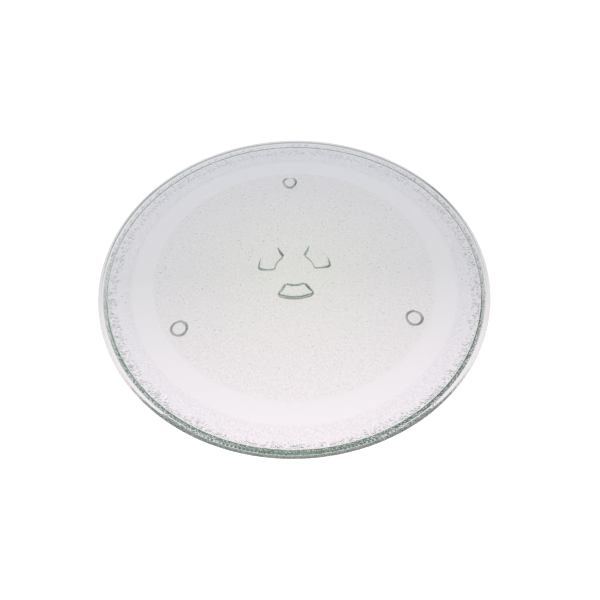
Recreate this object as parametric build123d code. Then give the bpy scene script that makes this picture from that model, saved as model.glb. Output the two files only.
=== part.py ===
from build123d import *
import math
import os

# Pressed-glass turntable plate, one solid. Millimetres, +Z up.
# The plate stands on its three feet, with the tips of the feet at Z = 0 and the plate's axis on Z.

# Overall
PLATE_R = 144.0  # outer radius of the rim
FOOT_H = 5.0  # feet, from the underside of the floor down
FLOOR_T = 5.0  # glass thickness of the floor

# Underside: stippled centre, smooth roller track, stippled band
TRACK_R1 = 108.2  # inner edge of the roller track
TRACK_R2 = 124.6  # outer edge of the roller track
STIPPLE_MEAN = 0.15  # mean height of the stipple, which stands proud of the track
STEP_RUN = 0.3  # slope of the edge between track and stipple

# Rim, as radius and height above the underside of the floor
BAND_R = 126.62  # where the underside begins to rise
BAND_END = (135.77, 1.09)  # where the rising band turns up into the heel
HEEL = (139.42, 3.05)  # end of the heel
LEDGE = (139.44, 4.29)  # top of the upright step over the heel
WALL_TOP = (141.5, 7.93)  # top of the outer wall, under the lip
LIP_UNDER = 7.65  # underside of the lip at its outer edge
LIP_FACE = 9.04  # top of the lip's upright outer face
CREST = (142.03, 11.17)  # corner of the crest, before it is rounded
SLOPE_FOOT = (137.83, 7.49)  # foot of the inner slope
FLOOR_R = 122.45  # edge of the flat part of the floor's top
RIM_ROUND = (8.0, 8.0, 0.24, 0.4, 1.2, 0.6, 1.55, 1.46, 1.08, 12.0)  # roundings from the band to the floor's top

# Drive lugs: three keystones round the axis
LUG_IN_R = 14.7
LUG_OUT_R = 28.2
LUG_HALF = 31.0  # half of a lug's angle at its base, degrees
LUG_H = 3.4
LUG_IN_DRAFT = 0.9  # how far the inner wall leans over its height
LUG_OUT_DRAFT = 5.2  # how far the outer wall leans over its height
LUG_SIDE_DRAFT = 27.9  # degrees
LUG_CORNER = 1.6
LUG_TIP_R = 0.6
LUG_ANGLES = (30.0, 150.0, 270.0)

# Feet: three round studs with domed tips, between the lugs
FOOT_PITCH_R = 96.5
FOOT_BASE_R = 6.5
FOOT_TIP_R = 5.0
FOOT_ROUND = 3.0
FOOT_ANGLES = (90.0, 210.0, 330.0)

Z0 = FOOT_H  # smooth underside of the floor
ZS = Z0 - STIPPLE_MEAN


def section():
    """Half of the plate's section, from the axis out along the underside, round the lip and back along the top."""
    pts = [
        (0, ZS),
        (TRACK_R1 - STEP_RUN, ZS),
        (TRACK_R1, Z0),
        (TRACK_R2, Z0),
        (TRACK_R2 + STEP_RUN, ZS),
        (BAND_R, ZS),
        (BAND_END[0], Z0 + BAND_END[1]),
        (HEEL[0], Z0 + HEEL[1]),
        (LEDGE[0], Z0 + LEDGE[1]),
        (WALL_TOP[0], Z0 + WALL_TOP[1]),
        (PLATE_R, Z0 + LIP_UNDER),
        (PLATE_R, Z0 + LIP_FACE),
        (CREST[0], Z0 + CREST[1]),
        (SLOPE_FOOT[0], Z0 + SLOPE_FOOT[1]),
        (FLOOR_R, Z0 + FLOOR_T),
        (0, Z0 + FLOOR_T),
    ]
    radii = [0, 0, 0, 0, *RIM_ROUND]
    outline = FilletPolyline(*pts, radius=radii)
    outline += Line(pts[-1], pts[0])
    return make_face(Plane.XZ * outline)


plate = revolve(section(), Axis.Z, 360)

# One lug: a ring section turned round the axis, cut to a wedge with drafted sides.
ROOT = 1.0  # how far lugs and feet run on into the floor
top = Z0 + ROOT
ring = Polyline(
    (LUG_IN_R - LUG_IN_DRAFT / LUG_H * ROOT, top),
    (LUG_IN_R + LUG_IN_DRAFT, Z0 - LUG_H),
    (LUG_OUT_R - LUG_OUT_DRAFT, Z0 - LUG_H),
    (LUG_OUT_R + LUG_OUT_DRAFT / LUG_H * ROOT, top),
    close=True,
)
ring = revolve(make_face(Plane.XZ * ring), Axis.Z, 360)

reach = 60.0
lean = math.tan(math.radians(LUG_SIDE_DRAFT)) * ROOT
apex = -lean / math.sin(math.radians(LUG_HALF))
wedge = Polyline(
    (apex, 0),
    Vector(apex, 0) + Vector(reach, 0).rotate(Axis.Z, LUG_HALF),
    Vector(apex, 0) + Vector(reach, 0).rotate(Axis.Z, -LUG_HALF),
    close=True,
)
wedge = extrude(
    Plane((0, 0, top), x_dir=(1, 0, 0), z_dir=(0, 0, -1)) * make_face(wedge),
    LUG_H + ROOT,
    taper=LUG_SIDE_DRAFT,
)
lug = (ring & wedge).solid()


def upright(edge):
    """True for the four corner edges that run from the lug's root to its tip."""
    box = edge.bounding_box()
    return box.min.Z < Z0 - LUG_H + 0.01 and box.max.Z > top - 0.01


lug = lug.fillet(LUG_CORNER, [e for e in lug.edges() if upright(e)])
lug = lug.fillet(LUG_TIP_R, lug.faces().sort_by(Axis.Z)[0].edges())

# One foot: a round stud with a domed tip.
foot_outline = FilletPolyline(
    (0, 0),
    (FOOT_TIP_R, 0),
    (FOOT_BASE_R, Z0),
    (FOOT_BASE_R, top),
    (0, top),
    radius=[FOOT_ROUND, 0, 0],
)
foot_outline += Line((0, top), (0, 0))
foot = revolve(make_face(Plane.XZ * foot_outline), Axis.Z, 360)

for angle in LUG_ANGLES:
    plate += Rot(0, 0, angle) * lug
for angle in FOOT_ANGLES:
    plate += Rot(0, 0, angle) * Pos(FOOT_PITCH_R, 0, 0) * foot

plate = plate.solid()
plate.label = "turntable_plate"
print("volume cm3", plate.volume / 1000, plate.bounding_box())

os.makedirs("parts", exist_ok=True)
export_step(plate, "parts/turntable_plate.step")
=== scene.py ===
import math

import bpy
import numpy as np
from mathutils import Matrix, Vector
from mathutils.geometry import delaunay_2d_cdt


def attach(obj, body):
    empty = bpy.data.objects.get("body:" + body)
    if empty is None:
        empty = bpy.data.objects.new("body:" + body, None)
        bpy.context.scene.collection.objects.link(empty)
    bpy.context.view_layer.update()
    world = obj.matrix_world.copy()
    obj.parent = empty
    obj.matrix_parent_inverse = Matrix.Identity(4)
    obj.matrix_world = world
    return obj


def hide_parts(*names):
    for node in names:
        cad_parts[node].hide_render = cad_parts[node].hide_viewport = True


# Pressed-glass turntable plate. Sizes in millimetres, Z up from the tips of the feet, as in the CAD frame.
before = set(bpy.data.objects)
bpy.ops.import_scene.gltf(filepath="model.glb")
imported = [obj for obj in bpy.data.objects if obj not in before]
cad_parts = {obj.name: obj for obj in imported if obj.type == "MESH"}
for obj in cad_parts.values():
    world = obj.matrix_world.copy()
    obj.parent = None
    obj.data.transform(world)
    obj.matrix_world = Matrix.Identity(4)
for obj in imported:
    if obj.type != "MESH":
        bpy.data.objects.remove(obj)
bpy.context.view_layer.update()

# ---------------------------------------------------------------- sizes
FOOT_H = 5.0  # feet, from the underside of the floor down
Z0 = FOOT_H  # smooth underside of the floor
TRACK_R1, TRACK_R2 = 108.2, 124.6  # smooth roller track
PROUD = 0.12  # stippled ground stands this far below the track
ZG = Z0 - PROUD

# Section of the rim as (radius, height above the underside), from the stippled band round the lip to the floor's top.
# Each inner corner has a rounding radius.
RIM = [
    (124.85, -PROUD),
    (126.62, -PROUD),
    (135.77, 1.09),
    (139.42, 3.05),
    (139.44, 4.29),
    (141.5, 7.93),
    (144.0, 7.65),
    (144.0, 9.04),
    (142.03, 11.17),
    (137.83, 7.49),
    (122.45, 5.0),
    (112.0, 5.0),
]
RIM_ROUND = [8.0, 8.0, 0.24, 0.4, 1.2, 0.6, 1.55, 1.46, 1.08, 12.0]
HEEL, LEDGE, WALL_TOP = 3, 4, 5  # corners in RIM: both ends of the upright step, and the top of the outer wall

# Drive lugs
LUG_ANGLES = (30.0, 150.0, 270.0)
LUG_IN, LUG_OUT, LUG_HALF, LUG_H = 14.7, 28.2, 31.0, 3.4
LUG_IN_LEAN, LUG_OUT_LEAN, LUG_SIDE_LEAN = 0.9, 5.2, 1.8
LUG_CORNER = 1.9

# Feet
FOOT_ANGLES = (90.0, 210.0, 330.0)
FOOT_PITCH_R, FOOT_BASE_R, FOOT_TIP_R, FOOT_ROUND = 96.5, 6.5, 5.0, 3.0

# Stipple: small pimples apart from each other on the floor, low domes side by side on the outer wall, both on loose lattices
DOT_PITCH, DOT_R, DOT_TILT = 2.1, 0.55, 30.0  # the pimples' spacing and radius, and their slope at the edge in degrees
STIPPLE_STEP = 0.8  # spacing of the wall's mesh; the tops of the domes are sqrt(3) steps apart
BAND_TILT, HEEL_TILT, WALL_TILT = 7.0, 28.0, 28.0  # mean slope of a dome at its edge in degrees, from the track to the outer wall
STEP_BUMP = 0.06  # unevenness of the upright step
RIM_COLUMNS = 320
rng = np.random.default_rng(20)

# ---------------------------------------------------------------- section helpers


def rounded(points, radii, step=9.0):
    """Points along a polyline with its inner corners rounded, every few degrees."""
    out = [np.array(points[0], float)]
    for a, b, c, r in zip(points[:-2], points[1:-1], points[2:], radii):
        a, b, c = (np.array(v, float) for v in (a, b, c))
        u, v = (a - b) / np.linalg.norm(a - b), (c - b) / np.linalg.norm(c - b)
        ang = math.acos(max(-1.0, min(1.0, float(u @ v))))
        t = r / math.tan(ang / 2)
        p, q = b + u * t, b + v * t
        m = b + (u + v) / np.linalg.norm(u + v) * (r / math.sin(ang / 2))
        a0, a1 = math.atan2(*(p - m)[::-1]), math.atan2(*(q - m)[::-1])
        d = (a1 - a0 + math.pi) % (2 * math.pi) - math.pi
        n = max(2, math.ceil(abs(math.degrees(d)) / step))
        out += [m + r * np.array([math.cos(a0 + d * k / n), math.sin(a0 + d * k / n)]) for k in range(n + 1)]
    out.append(np.array(points[-1], float))
    return np.array(out)


def along(path, s):
    """Points and outward normals at distances s along a path."""
    seg = np.linalg.norm(np.diff(path, axis=0), axis=1)
    at = np.concatenate([[0], np.cumsum(seg)])
    p = np.stack([np.interp(s, at, path[:, k]) for k in range(2)], 1)
    e = 0.35
    a = np.stack([np.interp(np.clip(s - e, 0, at[-1]), at, path[:, k]) for k in range(2)], 1)
    b = np.stack([np.interp(np.clip(s + e, 0, at[-1]), at, path[:, k]) for k in range(2)], 1)
    t = b - a
    n = np.stack([t[:, 1], -t[:, 0]], 1)
    return p, n / np.linalg.norm(n, axis=1)[:, None]


def circle(r, n, phase=0.0):
    a = np.arange(n) * 2 * math.pi / n + phase
    return np.stack([r * np.cos(a), r * np.sin(a)], 1)


def turn(xy, degrees):
    c, s = math.cos(math.radians(degrees)), math.sin(math.radians(degrees))
    return xy @ np.array([[c, s], [-s, c]])


def keystone(rin, rout, lean, corner, n_arc=26, n_corner=7, n_side=9):
    """Outline of a drive lug on +X: two arcs about the axis and two radial sides moved in by lean, with rounded corners."""
    h = math.radians(LUG_HALF)
    u, n = np.array([math.cos(h), math.sin(h)]), np.array([-math.sin(h), math.cos(h)])
    half = []
    ends = {}
    wide = corner + 0.9  # the outer corners are a little rounder
    for name, rho, r, k in (("out", rout - wide, rout, wide), ("in", rin + corner, rin, corner)):
        c = u * math.sqrt(rho**2 - (lean + k) ** 2) - n * (lean + k)
        ends[name] = (c, c * r / rho, c + n * k)
    c, on_arc, on_side = ends["out"]
    a = math.atan2(on_arc[1], on_arc[0])
    half += [rout * np.array([math.cos(t), math.sin(t)]) for t in np.linspace(0, a, n_arc // 2, endpoint=False)]
    a0, a1 = (math.atan2(*(p - c)[::-1]) for p in (on_arc, on_side))
    half += [c + wide * np.array([math.cos(t), math.sin(t)]) for t in np.linspace(a0, a1, n_corner)]
    start = on_side
    c, on_arc, on_side = ends["in"]
    half += [start + (on_side - start) * k / n_side for k in range(1, n_side)]
    a0, a1 = (math.atan2(*(p - c)[::-1]) for p in (on_side, on_arc))
    a1 += 2 * math.pi if a1 < a0 else 0
    half += [c + corner * np.array([math.cos(t), math.sin(t)]) for t in np.linspace(a0, a1, n_corner)]
    a = math.atan2(on_arc[1], on_arc[0])
    half += [rin * np.array([math.cos(t), math.sin(t)]) for t in np.linspace(a, 0, n_arc // 2)[1:]]
    half = np.array(half)
    return np.concatenate([half, half[-2:0:-1] * (1, -1)])


def in_loop(x, y, loop):
    """True for points inside a closed outline."""
    inside = np.zeros(len(x), bool)
    for (x0, y0), (x1, y1) in zip(loop, np.roll(loop, -1, 0)):
        if y0 != y1:
            inside ^= ((y0 > y) != (y1 > y)) & (x < (x1 - x0) * (y - y0) / (y1 - y0) + x0)
    return inside


# ---------------------------------------------------------------- stipple
# On the wall one of every three lattice points is the top of a dome, and the six round it are its edge.


def domes(is_top, slope):
    """Slope of each dome's edge in degrees, at the tops, and the heights that go with it."""
    tilt = np.where(is_top, np.clip(slope * rng.gamma(1.9, 1 / 1.9, len(is_top)), 1.0, 48.0), 0.0)
    return tilt, np.radians(tilt) / 2 * STIPPLE_STEP


def pimples(reach):
    """Pimples inside a radius: for each its top and three points of its edge, as place, slope and height over the ground."""
    n = int(reach / DOT_PITCH * 1.2) + 2
    i, j = (v.ravel() for v in np.meshgrid(np.arange(-n, n + 1), np.arange(-n, n + 1), indexing="ij"))
    x, y = (i + j / 2) * DOT_PITCH, j * DOT_PITCH * math.sqrt(3) / 2
    near = np.hypot(x, y) < reach
    x, y = x[near], y[near]
    x, y = (v + np.clip(rng.normal(0, 0.13, len(x)), -0.26, 0.26) * DOT_PITCH for v in (x, y))
    size = DOT_R * rng.uniform(0.75, 1.25, len(x))
    slope = DOT_TILT * rng.uniform(0.75, 1.2, len(x))
    turned = rng.uniform(0, 2 * math.pi, len(x))
    corners = [(x, y, slope, size * np.radians(slope) / 2)]
    for k in range(3):
        a = turned + k * 2 * math.pi / 3
        corners.append((x + size * np.cos(a), y + size * np.sin(a), 0 * x, 0 * x))
    return np.array(corners)  # 4 x (x, y, slope, height) x pimples


# ---------------------------------------------------------------- mesh
verts, faces = [], []
facing = {}  # of the stippled vertices: the slope of the dome at a top, or 0, and the normal of the ground


def stitch(a, b):
    """Triangles between two closed rings of (indices, angles), the second further along the section."""
    (ai, aa), (bi, ba) = a, b
    na, nb, i, j = len(ai), len(bi), 0, 0
    while i < na or j < nb:
        next_a = aa[(i + 1) % na] + 2 * math.pi * ((i + 1) // na) if i < na else 1e9
        next_b = ba[(j + 1) % nb] + 2 * math.pi * ((j + 1) // nb) if j < nb else 1e9
        if next_a <= next_b:
            faces.append((ai[i % na], ai[(i + 1) % na], bi[j % nb]))
            i += 1
        else:
            faces.append((ai[i % na], bi[(j + 1) % nb], bi[j % nb]))
            j += 1


def flat_cap(points, edges, ring, up, dots=()):
    """Triangulates points (x, y, z) inside a ring of existing vertices and adds the faces. The first points can belong to dots."""
    base = len(points)
    ring_xy = np.array([verts[k] for k in ring])
    allp = np.concatenate([points, ring_xy])
    edges = list(edges) + [(base + k, base + (k + 1) % len(ring)) for k in range(len(ring))]
    co, _, tri, origin, _, _ = delaunay_2d_cdt([Vector((p[0], p[1])) for p in allp], edges, [], 1, 1e-7, True)
    ids = []
    for c, o in zip(co, origin):
        outer = [k for k in o if k >= base]
        if outer:
            ids.append(ring[outer[0] - base])
        else:
            if o and o[0] < len(dots):
                facing[len(verts)] = dots[o[0]]
            ids.append(len(verts))
            verts.append((c[0], c[1], float(allp[o[0]][2]) if o else Z0))
    for f in tri:
        for k in range(1, len(f) - 1):
            a, b, c = f[0], f[k], f[k + 1]
            left = (co[b] - co[a]).cross(co[c] - co[a]) > 0
            faces.append((ids[a], ids[b], ids[c]) if left == up else (ids[a], ids[c], ids[b]))


path = rounded(RIM, RIM_ROUND)
path[:, 1] += Z0
length = np.concatenate([[0], np.cumsum(np.linalg.norm(np.diff(path, axis=0), axis=1))])


def nearest(corner):
    """Index of the path's point next to a corner of the section."""
    return int(np.argmin(np.linalg.norm(path - np.array(RIM[corner]) - (0, Z0), axis=1)))


# Rows of the band and the outer wall: domes up to the lip, with an uneven upright step between
wall_end = nearest(WALL_TOP)
step_a, step_b = (float(length[nearest(k)]) for k in (HEEL, LEDGE))
step_rows = [step_a - 0.16, step_a + 0.02, step_a + 0.18, step_b - 0.13, step_b + 0.13]
spacing = STIPPLE_STEP * math.sqrt(3) / 2
lower = np.linspace(0, step_rows[0], int(round(step_rows[0] / spacing)) + 1)
upper = np.linspace(step_rows[-1], length[wall_end], int(round((length[wall_end] - step_rows[-1]) / spacing)) + 1)
at = np.concatenate([lower, step_rows[1:-1], upper])
rows = len(at) - 1
on_step = np.isin(np.arange(rows + 1), len(lower) - 1 + np.arange(len(step_rows)))
plain = on_step | np.isin(np.arange(rows + 1), [0, rows])
columns = 3 * int(round(2 * math.pi * 136.0 / STIPPLE_STEP / 3))
steep = np.interp(along(path, at)[0][:, 0], [127.0, 131.5, 134.5, 139.0], [BAND_TILT, BAND_TILT, HEEL_TILT, WALL_TILT])
ring_rows = []
for j in range(rows + 1):
    i = np.arange(columns)
    loose = 0.0 if plain[j] else 0.15
    tilt, h = domes(((i - j) % 3 == 0) & (not plain[j]), steep[j])
    if on_step[j]:
        h = h + np.clip(rng.normal(0, STEP_BUMP, columns), -2 * STEP_BUMP, 2 * STEP_BUMP)
    ang = (i + j / 2 + rng.normal(0, 1, columns) * loose) * 2 * math.pi / columns
    (r, z), (out_r, out_z) = (v.T for v in along(path, at[j] + np.clip(rng.normal(0, 1, columns), -2, 2) * loose * spacing))
    r, z = r + out_r * h, z + out_z * h
    start = len(verts)
    verts += list(zip(r * np.cos(ang), r * np.sin(ang), z))
    ring_rows.append(np.arange(start, start + columns))
    if not plain[j]:
        ground = np.stack([out_r * np.cos(ang), out_r * np.sin(ang), out_z], 1)
        facing.update((start + k, (tilt[k], ground[k])) for k in range(columns))
for j in range(rows):
    p, q = ring_rows[j], ring_rows[j + 1]
    p1, q1 = np.roll(p, -1), np.roll(q, -1)
    faces += list(zip(p.tolist(), p1.tolist(), q.tolist())) + list(zip(p1.tolist(), q1.tolist(), q.tolist()))

# Lip, inner slope and the edge of the floor's top
ang = ((np.arange(columns) + rows / 2) * 2 * math.pi / columns) % (2 * math.pi)
order = np.argsort(ang)
last = (ring_rows[-1][order].tolist(), ang[order])
turned = []
for a, b in zip(path[wall_end:-1], path[wall_end + 1 :]):
    n = max(1, int(math.ceil(np.linalg.norm(b - a) / 2.5)))
    turned += [a + (b - a) * k / n for k in range(1, n + 1)]
ang = np.arange(RIM_COLUMNS) * 2 * math.pi / RIM_COLUMNS
for r, z in turned:
    start = len(verts)
    verts += list(zip(r * np.cos(ang), r * np.sin(ang), np.full(RIM_COLUMNS, z)))
    ring = (list(range(start, start + RIM_COLUMNS)), ang)
    stitch(last, ring)
    last = ring

# Floor's top
top_z, top_r = turned[-1][1], turned[-1][0]
pts = [np.array([[0.0, 0.0, top_z]])]
for r in (top_r - 2, 100.0, 80.0, 60.0, 40.0, 20.0):
    n = 240 if r > 100 else max(12, int(r * 1.2))
    pts.append(np.column_stack([circle(r, n, r), np.full(n, top_z)]))
flat_cap(np.concatenate(pts), [], last[0], True)

# Underside: stipple, roller track, lugs and feet
points, edges = [], []
count = 0


def add(xy, z, loop=False):
    global count
    n = len(xy)
    points.append(np.column_stack([xy, np.broadcast_to(z, n)]))
    if loop:
        edges.extend((count + k, count + (k + 1) % n) for k in range(n))
    count += n


dots = pimples(TRACK_R1 - 1.0)
x, y = dots[0, :2]
keep = np.ones(len(x), bool)
for a in LUG_ANGLES:
    skirt = turn(keystone(LUG_IN - 1.4, LUG_OUT + 2.3, -1.4, LUG_CORNER + 1.4), a)
    keep &= ~in_loop(x, y, skirt)
for a in FOOT_ANGLES:
    c = turn(np.array([[FOOT_PITCH_R, 0.0]]), a)[0]
    keep &= np.hypot(x - c[0], y - c[1]) > FOOT_BASE_R + 1.4
x, y, tilt, h = dots[:, :, keep].transpose(1, 2, 0).reshape(4, -1)
add(np.stack([x, y], 1), ZG - h)
for r, n in ((TRACK_R1 - 0.25, 500), (TRACK_R1 + 0.15, 500), (TRACK_R1 + 1.2, 320), (TRACK_R2 - 1.2, 360), (TRACK_R2 - 0.15, 560)):
    add(circle(r, n, r), Z0 if r > TRACK_R1 else ZG, loop=True)

# A lug's wall from root to tip: share of the height, share of the lean, and that of the rounded outer end
LUG_WALL = [(0.0, -0.28, -0.2), (0.03, -0.07, -0.04), (0.12, 0.1, 0.03), (0.5, 0.49, 0.18)]
LUG_WALL += [(0.84, 0.83, 0.66), (0.94, 0.95, 0.9), (0.985, 1.12, 1.06), (1.0, 1.34, 1.2)]
for a in LUG_ANGLES:
    for share, lean, end in LUG_WALL:
        loop = keystone(LUG_IN + LUG_IN_LEAN * lean, LUG_OUT - LUG_OUT_LEAN * end, LUG_SIDE_LEAN * lean, LUG_CORNER - 0.35 * lean)
        add(turn(loop, a), ZG - (LUG_H - PROUD) * share, loop=True)
    mid = turn(np.array([[rr * math.cos(t), rr * math.sin(t)] for rr in (19.5, 21.6) for t in np.linspace(-0.22, 0.22, 7)]), a)
    add(mid, Z0 - LUG_H)

# A foot's wall from root to tip: radius and height
FOOT_WALL = [(FOOT_BASE_R + 0.55, 0.0), (FOOT_BASE_R + 0.12, 0.08), (FOOT_BASE_R - 0.2, 0.36)]
FOOT_WALL += [tuple(p) for p in rounded([(FOOT_BASE_R - 0.2, 0.36), (FOOT_TIP_R, FOOT_H), (0.0, FOOT_H)], [FOOT_ROUND], 14.0)[1:-1]]
FOOT_WALL.append((1.2, FOOT_H))
for a in FOOT_ANGLES:
    c = turn(np.array([[FOOT_PITCH_R, 0.0]]), a)[0]
    for r, drop in FOOT_WALL:
        add(circle(r, 56 if r > 3 else 20) + c, ZG - drop * (FOOT_H - PROUD) / FOOT_H, loop=True)
    add(c[None], Z0 - FOOT_H)
down = np.array([0.0, 0.0, -1.0])
flat_cap(np.concatenate(points), edges, ring_rows[0].tolist(), False, [(t, down) for t in tilt])

mesh = bpy.data.meshes.new("turntable_plate_glass")
mesh.from_pydata([(x * 0.001, y * 0.001, z * 0.001) for x, y, z in verts], [], faces)
mesh.update()
mesh.shade_smooth()
# Each dome is shaded round, with a crease where it meets the next; corners without a normal here are smooth
tilt, ground = np.zeros(len(verts)), np.zeros((len(verts), 3))
for k, (t, n) in facing.items():
    tilt[k], ground[k] = t, n
corners, place = np.array(faces), np.array(verts)
is_top, way = tilt[corners] > 0, ground[corners]
tops = np.maximum(is_top.sum(1), 1)[:, None]
middle = (place[corners] * is_top[..., None]).sum(1) / tops
slope = np.radians(tilt[corners].sum(1)[:, None] / tops)
away = place[corners] - middle[:, None]
away -= (away * way).sum(-1, keepdims=True) * way
away /= np.maximum(np.linalg.norm(away, axis=-1, keepdims=True), 1e-9)
on_dome = is_top.any(1) & way.any(-1).all(1)
lean = np.where(on_dome[:, None] & ~is_top, slope, 0.0)[..., None]
mesh.normals_split_custom_set((np.cos(lean) * way + np.sin(lean) * away).reshape(-1, 3).tolist())
plate = bpy.data.objects.new("turntable_plate_glass", mesh)
bpy.context.scene.collection.objects.link(plate)
print("plate", len(mesh.vertices), "vertices", len(mesh.polygons), "triangles")

# ---------------------------------------------------------------- glass
glass = bpy.data.materials.new("pressed_glass")
glass.use_nodes = True
nodes, links = glass.node_tree.nodes, glass.node_tree.links
shader = nodes["Principled BSDF"]
shader.inputs["Base Color"].default_value = (0.68, 0.68, 0.68, 1)
shader.inputs["Transmission Weight"].default_value = 1.0
shader.inputs["IOR"].default_value = 1.52
depth = nodes.new("ShaderNodeVolumeAbsorption")
depth.inputs["Color"].default_value = (0.77, 0.865, 0.80, 1)
depth.inputs["Density"].default_value = 20.0
links.new(depth.outputs["Volume"], nodes["Material Output"].inputs["Volume"])
# Faint waves of the pressed surface, and a finish that is a little duller in patches
where = nodes.new("ShaderNodeTexCoord")
wave = nodes.new("ShaderNodeTexNoise")
wave.inputs["Scale"].default_value = 160.0
wave.inputs["Detail"].default_value = 2.0
links.new(where.outputs["Object"], wave.inputs["Vector"])
bump = nodes.new("ShaderNodeBump")
bump.inputs["Strength"].default_value = 0.12
bump.inputs["Distance"].default_value = 0.0004
links.new(wave.outputs["Fac"], bump.inputs["Height"])
links.new(bump.outputs["Normal"], shader.inputs["Normal"])
patch = nodes.new("ShaderNodeTexNoise")
patch.inputs["Scale"].default_value = 35.0
patch.inputs["Detail"].default_value = 4.0
links.new(where.outputs["Object"], patch.inputs["Vector"])
dull = nodes.new("ShaderNodeMapRange")
dull.inputs["From Min"].default_value = 0.4
dull.inputs["From Max"].default_value = 0.8
dull.inputs["To Min"].default_value = 0.0
dull.inputs["To Max"].default_value = 0.03
links.new(patch.outputs["Fac"], dull.inputs["Value"])
links.new(dull.outputs["Result"], shader.inputs["Roughness"])
mesh.materials.append(glass)

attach(plate, "root")
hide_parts("turntable_plate")

# ---------------------------------------------------------------- floor, light and camera
floor_mesh = bpy.data.meshes.new("floor")
floor_mesh.from_pydata([(-4, -4, -0.0002), (4, -4, -0.0002), (4, 4, -0.0002), (-4, 4, -0.0002)], [], [(0, 1, 2, 3)])
floor = bpy.data.objects.new("floor", floor_mesh)
bpy.context.scene.collection.objects.link(floor)
pale = bpy.data.materials.new("pale_floor")
pale.use_nodes = True
nodes, links = pale.node_tree.nodes, pale.node_tree.links
shader = nodes["Principled BSDF"]
shader.inputs["Base Color"].default_value = (0.1, 0.1, 0.1, 1)
shader.inputs["Roughness"].default_value = 1.0
shader.inputs["Specular IOR Level"].default_value = 0.0
shader.inputs["Emission Strength"].default_value = 1.0
# The floor glows by itself, and light and shade are painted into its glow. Painted falloff of light: the glow fades
# away from the axis
where = nodes.new("ShaderNodeTexCoord")
far = nodes.new("ShaderNodeVectorMath")
far.operation = "LENGTH"
links.new(where.outputs["Object"], far.inputs[0])
painted_falloff = nodes.new("ShaderNodeValToRGB")
half = nodes.new("ShaderNodeMath")
half.operation = "MULTIPLY"
half.inputs[1].default_value = 0.5
links.new(far.outputs["Value"], half.inputs[0])
links.new(half.outputs[0], painted_falloff.inputs[0])
PAINTED_FALLOFF_STOPS = [(0.70, 1.0), (1.20, 0.60), (2.00, 0.35)]  # distance from the axis in metres, and the share of light there
painted_falloff.color_ramp.elements.new(0.5)
for e, (at, v) in zip(painted_falloff.color_ramp.elements, PAINTED_FALLOFF_STOPS):
    e.position = at / 2
for e, (at, v) in zip(painted_falloff.color_ramp.elements, PAINTED_FALLOFF_STOPS):
    e.color = (v, v, v, 1)
# Painted light: the floor's glow is brighter and pinker towards the camera
split = nodes.new("ShaderNodeSeparateXYZ")
links.new(where.outputs["Object"], split.inputs[0])
span = nodes.new("ShaderNodeMapRange")
span.inputs["From Min"].default_value = 0.16
span.inputs["From Max"].default_value = -0.16
links.new(split.outputs["Y"], span.inputs["Value"])
painted_glow = nodes.new("ShaderNodeValToRGB")
PAINTED_GLOW = [(0.0, (1.012, 1.022, 1.064)), (0.5, (1.06, 1.05, 1.06)), (1.0, (1.55, 1.442, 1.459))]
painted_glow.color_ramp.elements.new(0.5)
for e, (at, c) in zip(painted_glow.color_ramp.elements, PAINTED_GLOW):
    e.position = at
for e, (at, c) in zip(painted_glow.color_ramp.elements, PAINTED_GLOW):
    e.color = c + (1,)
links.new(span.outputs["Result"], painted_glow.inputs[0])
# Painted light and shade: a little dimmer away from the axis, painted shade under the stipple and under the rim, and
# brighter and cooler under the clear roller track, as if light came down through it
under = nodes.new("ShaderNodeVectorMath")
under.operation = "SUBTRACT"
under.inputs[1].default_value = (0.0, 0.0035, 0.0)
links.new(where.outputs["Object"], under.inputs[0])
reach = nodes.new("ShaderNodeVectorMath")
reach.operation = "LENGTH"
links.new(under.outputs[0], reach.inputs[0])
times = nodes.new("ShaderNodeMath")
times.operation = "MULTIPLY"
times.inputs[1].default_value = 5.0
links.new(reach.outputs["Value"], times.inputs[0])
# Painted shade under the stipple and the rim, painted light under the track
ring = nodes.new("ShaderNodeValToRGB")
PAINTED_RINGS = [
    (0.000, (1.024, 1.024, 0.974)),
    (0.050, (0.999, 0.990, 0.972)),
    (0.090, (0.968, 0.951, 0.968)),
    (0.1074, (0.960, 0.946, 0.962)),
    (0.1088, (0.992, 0.983, 1.016)),
    (0.1238, (0.992, 0.983, 1.016)),
    (0.1256, (0.945, 0.934, 0.980)),
    (0.139, (0.945, 0.934, 0.980)),
    (0.150, (1.0, 1.0, 1.0)),
]
while len(ring.color_ramp.elements) < len(PAINTED_RINGS):
    ring.color_ramp.elements.new(0.5)
for e, (at, c) in zip(ring.color_ramp.elements, PAINTED_RINGS):
    e.position = at * 5
for e, (at, c) in zip(ring.color_ramp.elements, PAINTED_RINGS):
    e.color = c + (1,)
links.new(times.outputs[0], ring.inputs[0])
# Painted caustic: the glow is finely mottled under the stipple, as if light came down through it
painted_grain = nodes.new("ShaderNodeTexNoise")
painted_grain.inputs["Scale"].default_value = 760.0
painted_grain.inputs["Detail"].default_value = 1.0
links.new(where.outputs["Object"], painted_grain.inputs["Vector"])
centred = nodes.new("ShaderNodeMath")
centred.operation = "SUBTRACT"
centred.inputs[1].default_value = 0.5
links.new(painted_grain.outputs["Fac"], centred.inputs[0])
share = nodes.new("ShaderNodeValToRGB")
PAINTED_GRAIN_SHARE = [(0.1066, 0.40), (0.1088, 0.0), (0.1238, 0.0), (0.1258, 0.42), (0.138, 0.42), (0.142, 0.0)]
while len(share.color_ramp.elements) < len(PAINTED_GRAIN_SHARE):
    share.color_ramp.elements.new(0.5)
for e, (at, v) in zip(share.color_ramp.elements, PAINTED_GRAIN_SHARE):
    e.position = at * 5
for e, (at, v) in zip(share.color_ramp.elements, PAINTED_GRAIN_SHARE):
    e.color = (v, v, v, 1)
links.new(times.outputs[0], share.inputs[0])
painted_mottle = nodes.new("ShaderNodeMath")
painted_mottle.operation = "MULTIPLY_ADD"
painted_mottle.inputs[2].default_value = 1.0
links.new(centred.outputs[0], painted_mottle.inputs[0])
links.new(share.outputs[0], painted_mottle.inputs[1])
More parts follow.
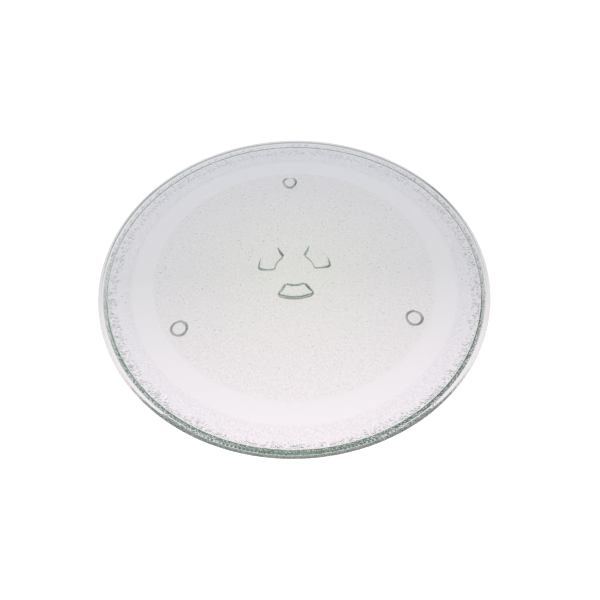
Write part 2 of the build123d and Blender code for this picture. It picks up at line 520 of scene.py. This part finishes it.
# Painted shade: the floor's glow is a little dimmer on the right
painted_side_shade = nodes.new("ShaderNodeMapRange")
painted_side_shade.inputs["From Min"].default_value = -0.15
painted_side_shade.inputs["From Max"].default_value = 0.15
painted_side_shade.inputs["To Min"].default_value = 1.025
painted_side_shade.inputs["To Max"].default_value = 0.975
links.new(split.outputs["X"], painted_side_shade.inputs["Value"])
light = painted_glow.outputs[0]
for other in (painted_falloff, ring, painted_mottle, painted_side_shade):
    both = nodes.new("ShaderNodeMix")
    both.data_type = "RGBA"
    both.blend_type = "MULTIPLY"
    both.inputs["Factor"].default_value = 1.0
    links.new(light, both.inputs["A"])
    links.new(other.outputs[0], both.inputs["B"])
    light = both.outputs["Result"]
links.new(light, shader.inputs["Emission Color"])
floor_mesh.materials.append(pale)

# Soft light all round: dim and cool at the horizon, bright and a little warm overhead
world = bpy.data.worlds.new("studio")
bpy.context.scene.world = world
world.use_nodes = True
nodes, links = world.node_tree.nodes, world.node_tree.links
LIGHT = [  # cosine of the angle from overhead, and the light there
    (0.00, (0.25, 0.27, 0.31)),
    (0.60, (0.55, 0.56, 0.59)),
    (1.00, (0.60, 0.58, 0.59)),
]
where = nodes.new("ShaderNodeTexCoord")
lean = nodes.new("ShaderNodeVectorMath")
lean.operation = "DOT_PRODUCT"
tilt = math.radians(6.0)
lean.inputs[1].default_value = (0.0, math.sin(tilt), math.cos(tilt))
links.new(where.outputs["Generated"], lean.inputs[0])
ramp = nodes.new("ShaderNodeValToRGB")
links.new(lean.outputs["Value"], ramp.inputs[0])
most = max(max(c) for _, c in LIGHT)
while len(ramp.color_ramp.elements) < len(LIGHT):
    ramp.color_ramp.elements.new(0.5)
for e, (at, c) in zip(ramp.color_ramp.elements, LIGHT):
    e.position = at
for e, (at, c) in zip(ramp.color_ramp.elements, LIGHT):
    e.color = tuple(v / most for v in c) + (1,)
back = nodes["Background"]
links.new(ramp.outputs[0], back.inputs["Color"])
# Brighter on the right and behind the plate
side = nodes.new("ShaderNodeVectorMath")
side.operation = "DOT_PRODUCT"
side.inputs[1].default_value = (0.70 * most, 0.20 * most, 0.0)
links.new(where.outputs["Generated"], side.inputs[0])
level = nodes.new("ShaderNodeMath")
level.inputs[1].default_value = most
links.new(side.outputs["Value"], level.inputs[0])
links.new(level.outputs[0], back.inputs["Strength"])

# Camera at the photograph's angle, for a picture of 600 x 600
TILT, DISTANCE, FOCAL, ROLL, AIM_X, AIM_Y, AIM_Z, TURN = 56.31, 329.97, 451.33, -0.28, 4.08, -29.07, 6.8, -2.67
e, roll = math.radians(TILT), math.radians(ROLL)
behind = np.array([0.0, -math.cos(e), math.sin(e)])
right = np.array([1.0, 0.0, 0.0])
up = np.cross(right, -behind)
right, up = right * math.cos(roll) + up * math.sin(roll), -right * math.sin(roll) + up * math.cos(roll)
eye = (np.array([AIM_X, AIM_Y, AIM_Z]) + DISTANCE * behind) / 1000
cam = bpy.data.cameras.new("camera")
cam.sensor_fit = "HORIZONTAL"
cam.sensor_width = 36.0
cam.lens = FOCAL / 600 * 36.0
cam.clip_start = 0.01
camera = bpy.data.objects.new("camera", cam)
bpy.context.scene.collection.objects.link(camera)
camera.matrix_world = Matrix.Rotation(math.radians(TURN), 4, "Z") @ Matrix([(right[k], up[k], behind[k], eye[k]) for k in range(3)] + [(0, 0, 0, 1)])
bpy.context.scene.camera = camera

# Light runs a long way inside glass
scene = bpy.context.scene
scene.view_settings.view_transform = "Standard"
scene.cycles.max_bounces = 32
scene.cycles.transmission_bounces = 32
scene.cycles.glossy_bounces = 32
scene.cycles.diffuse_bounces = 4
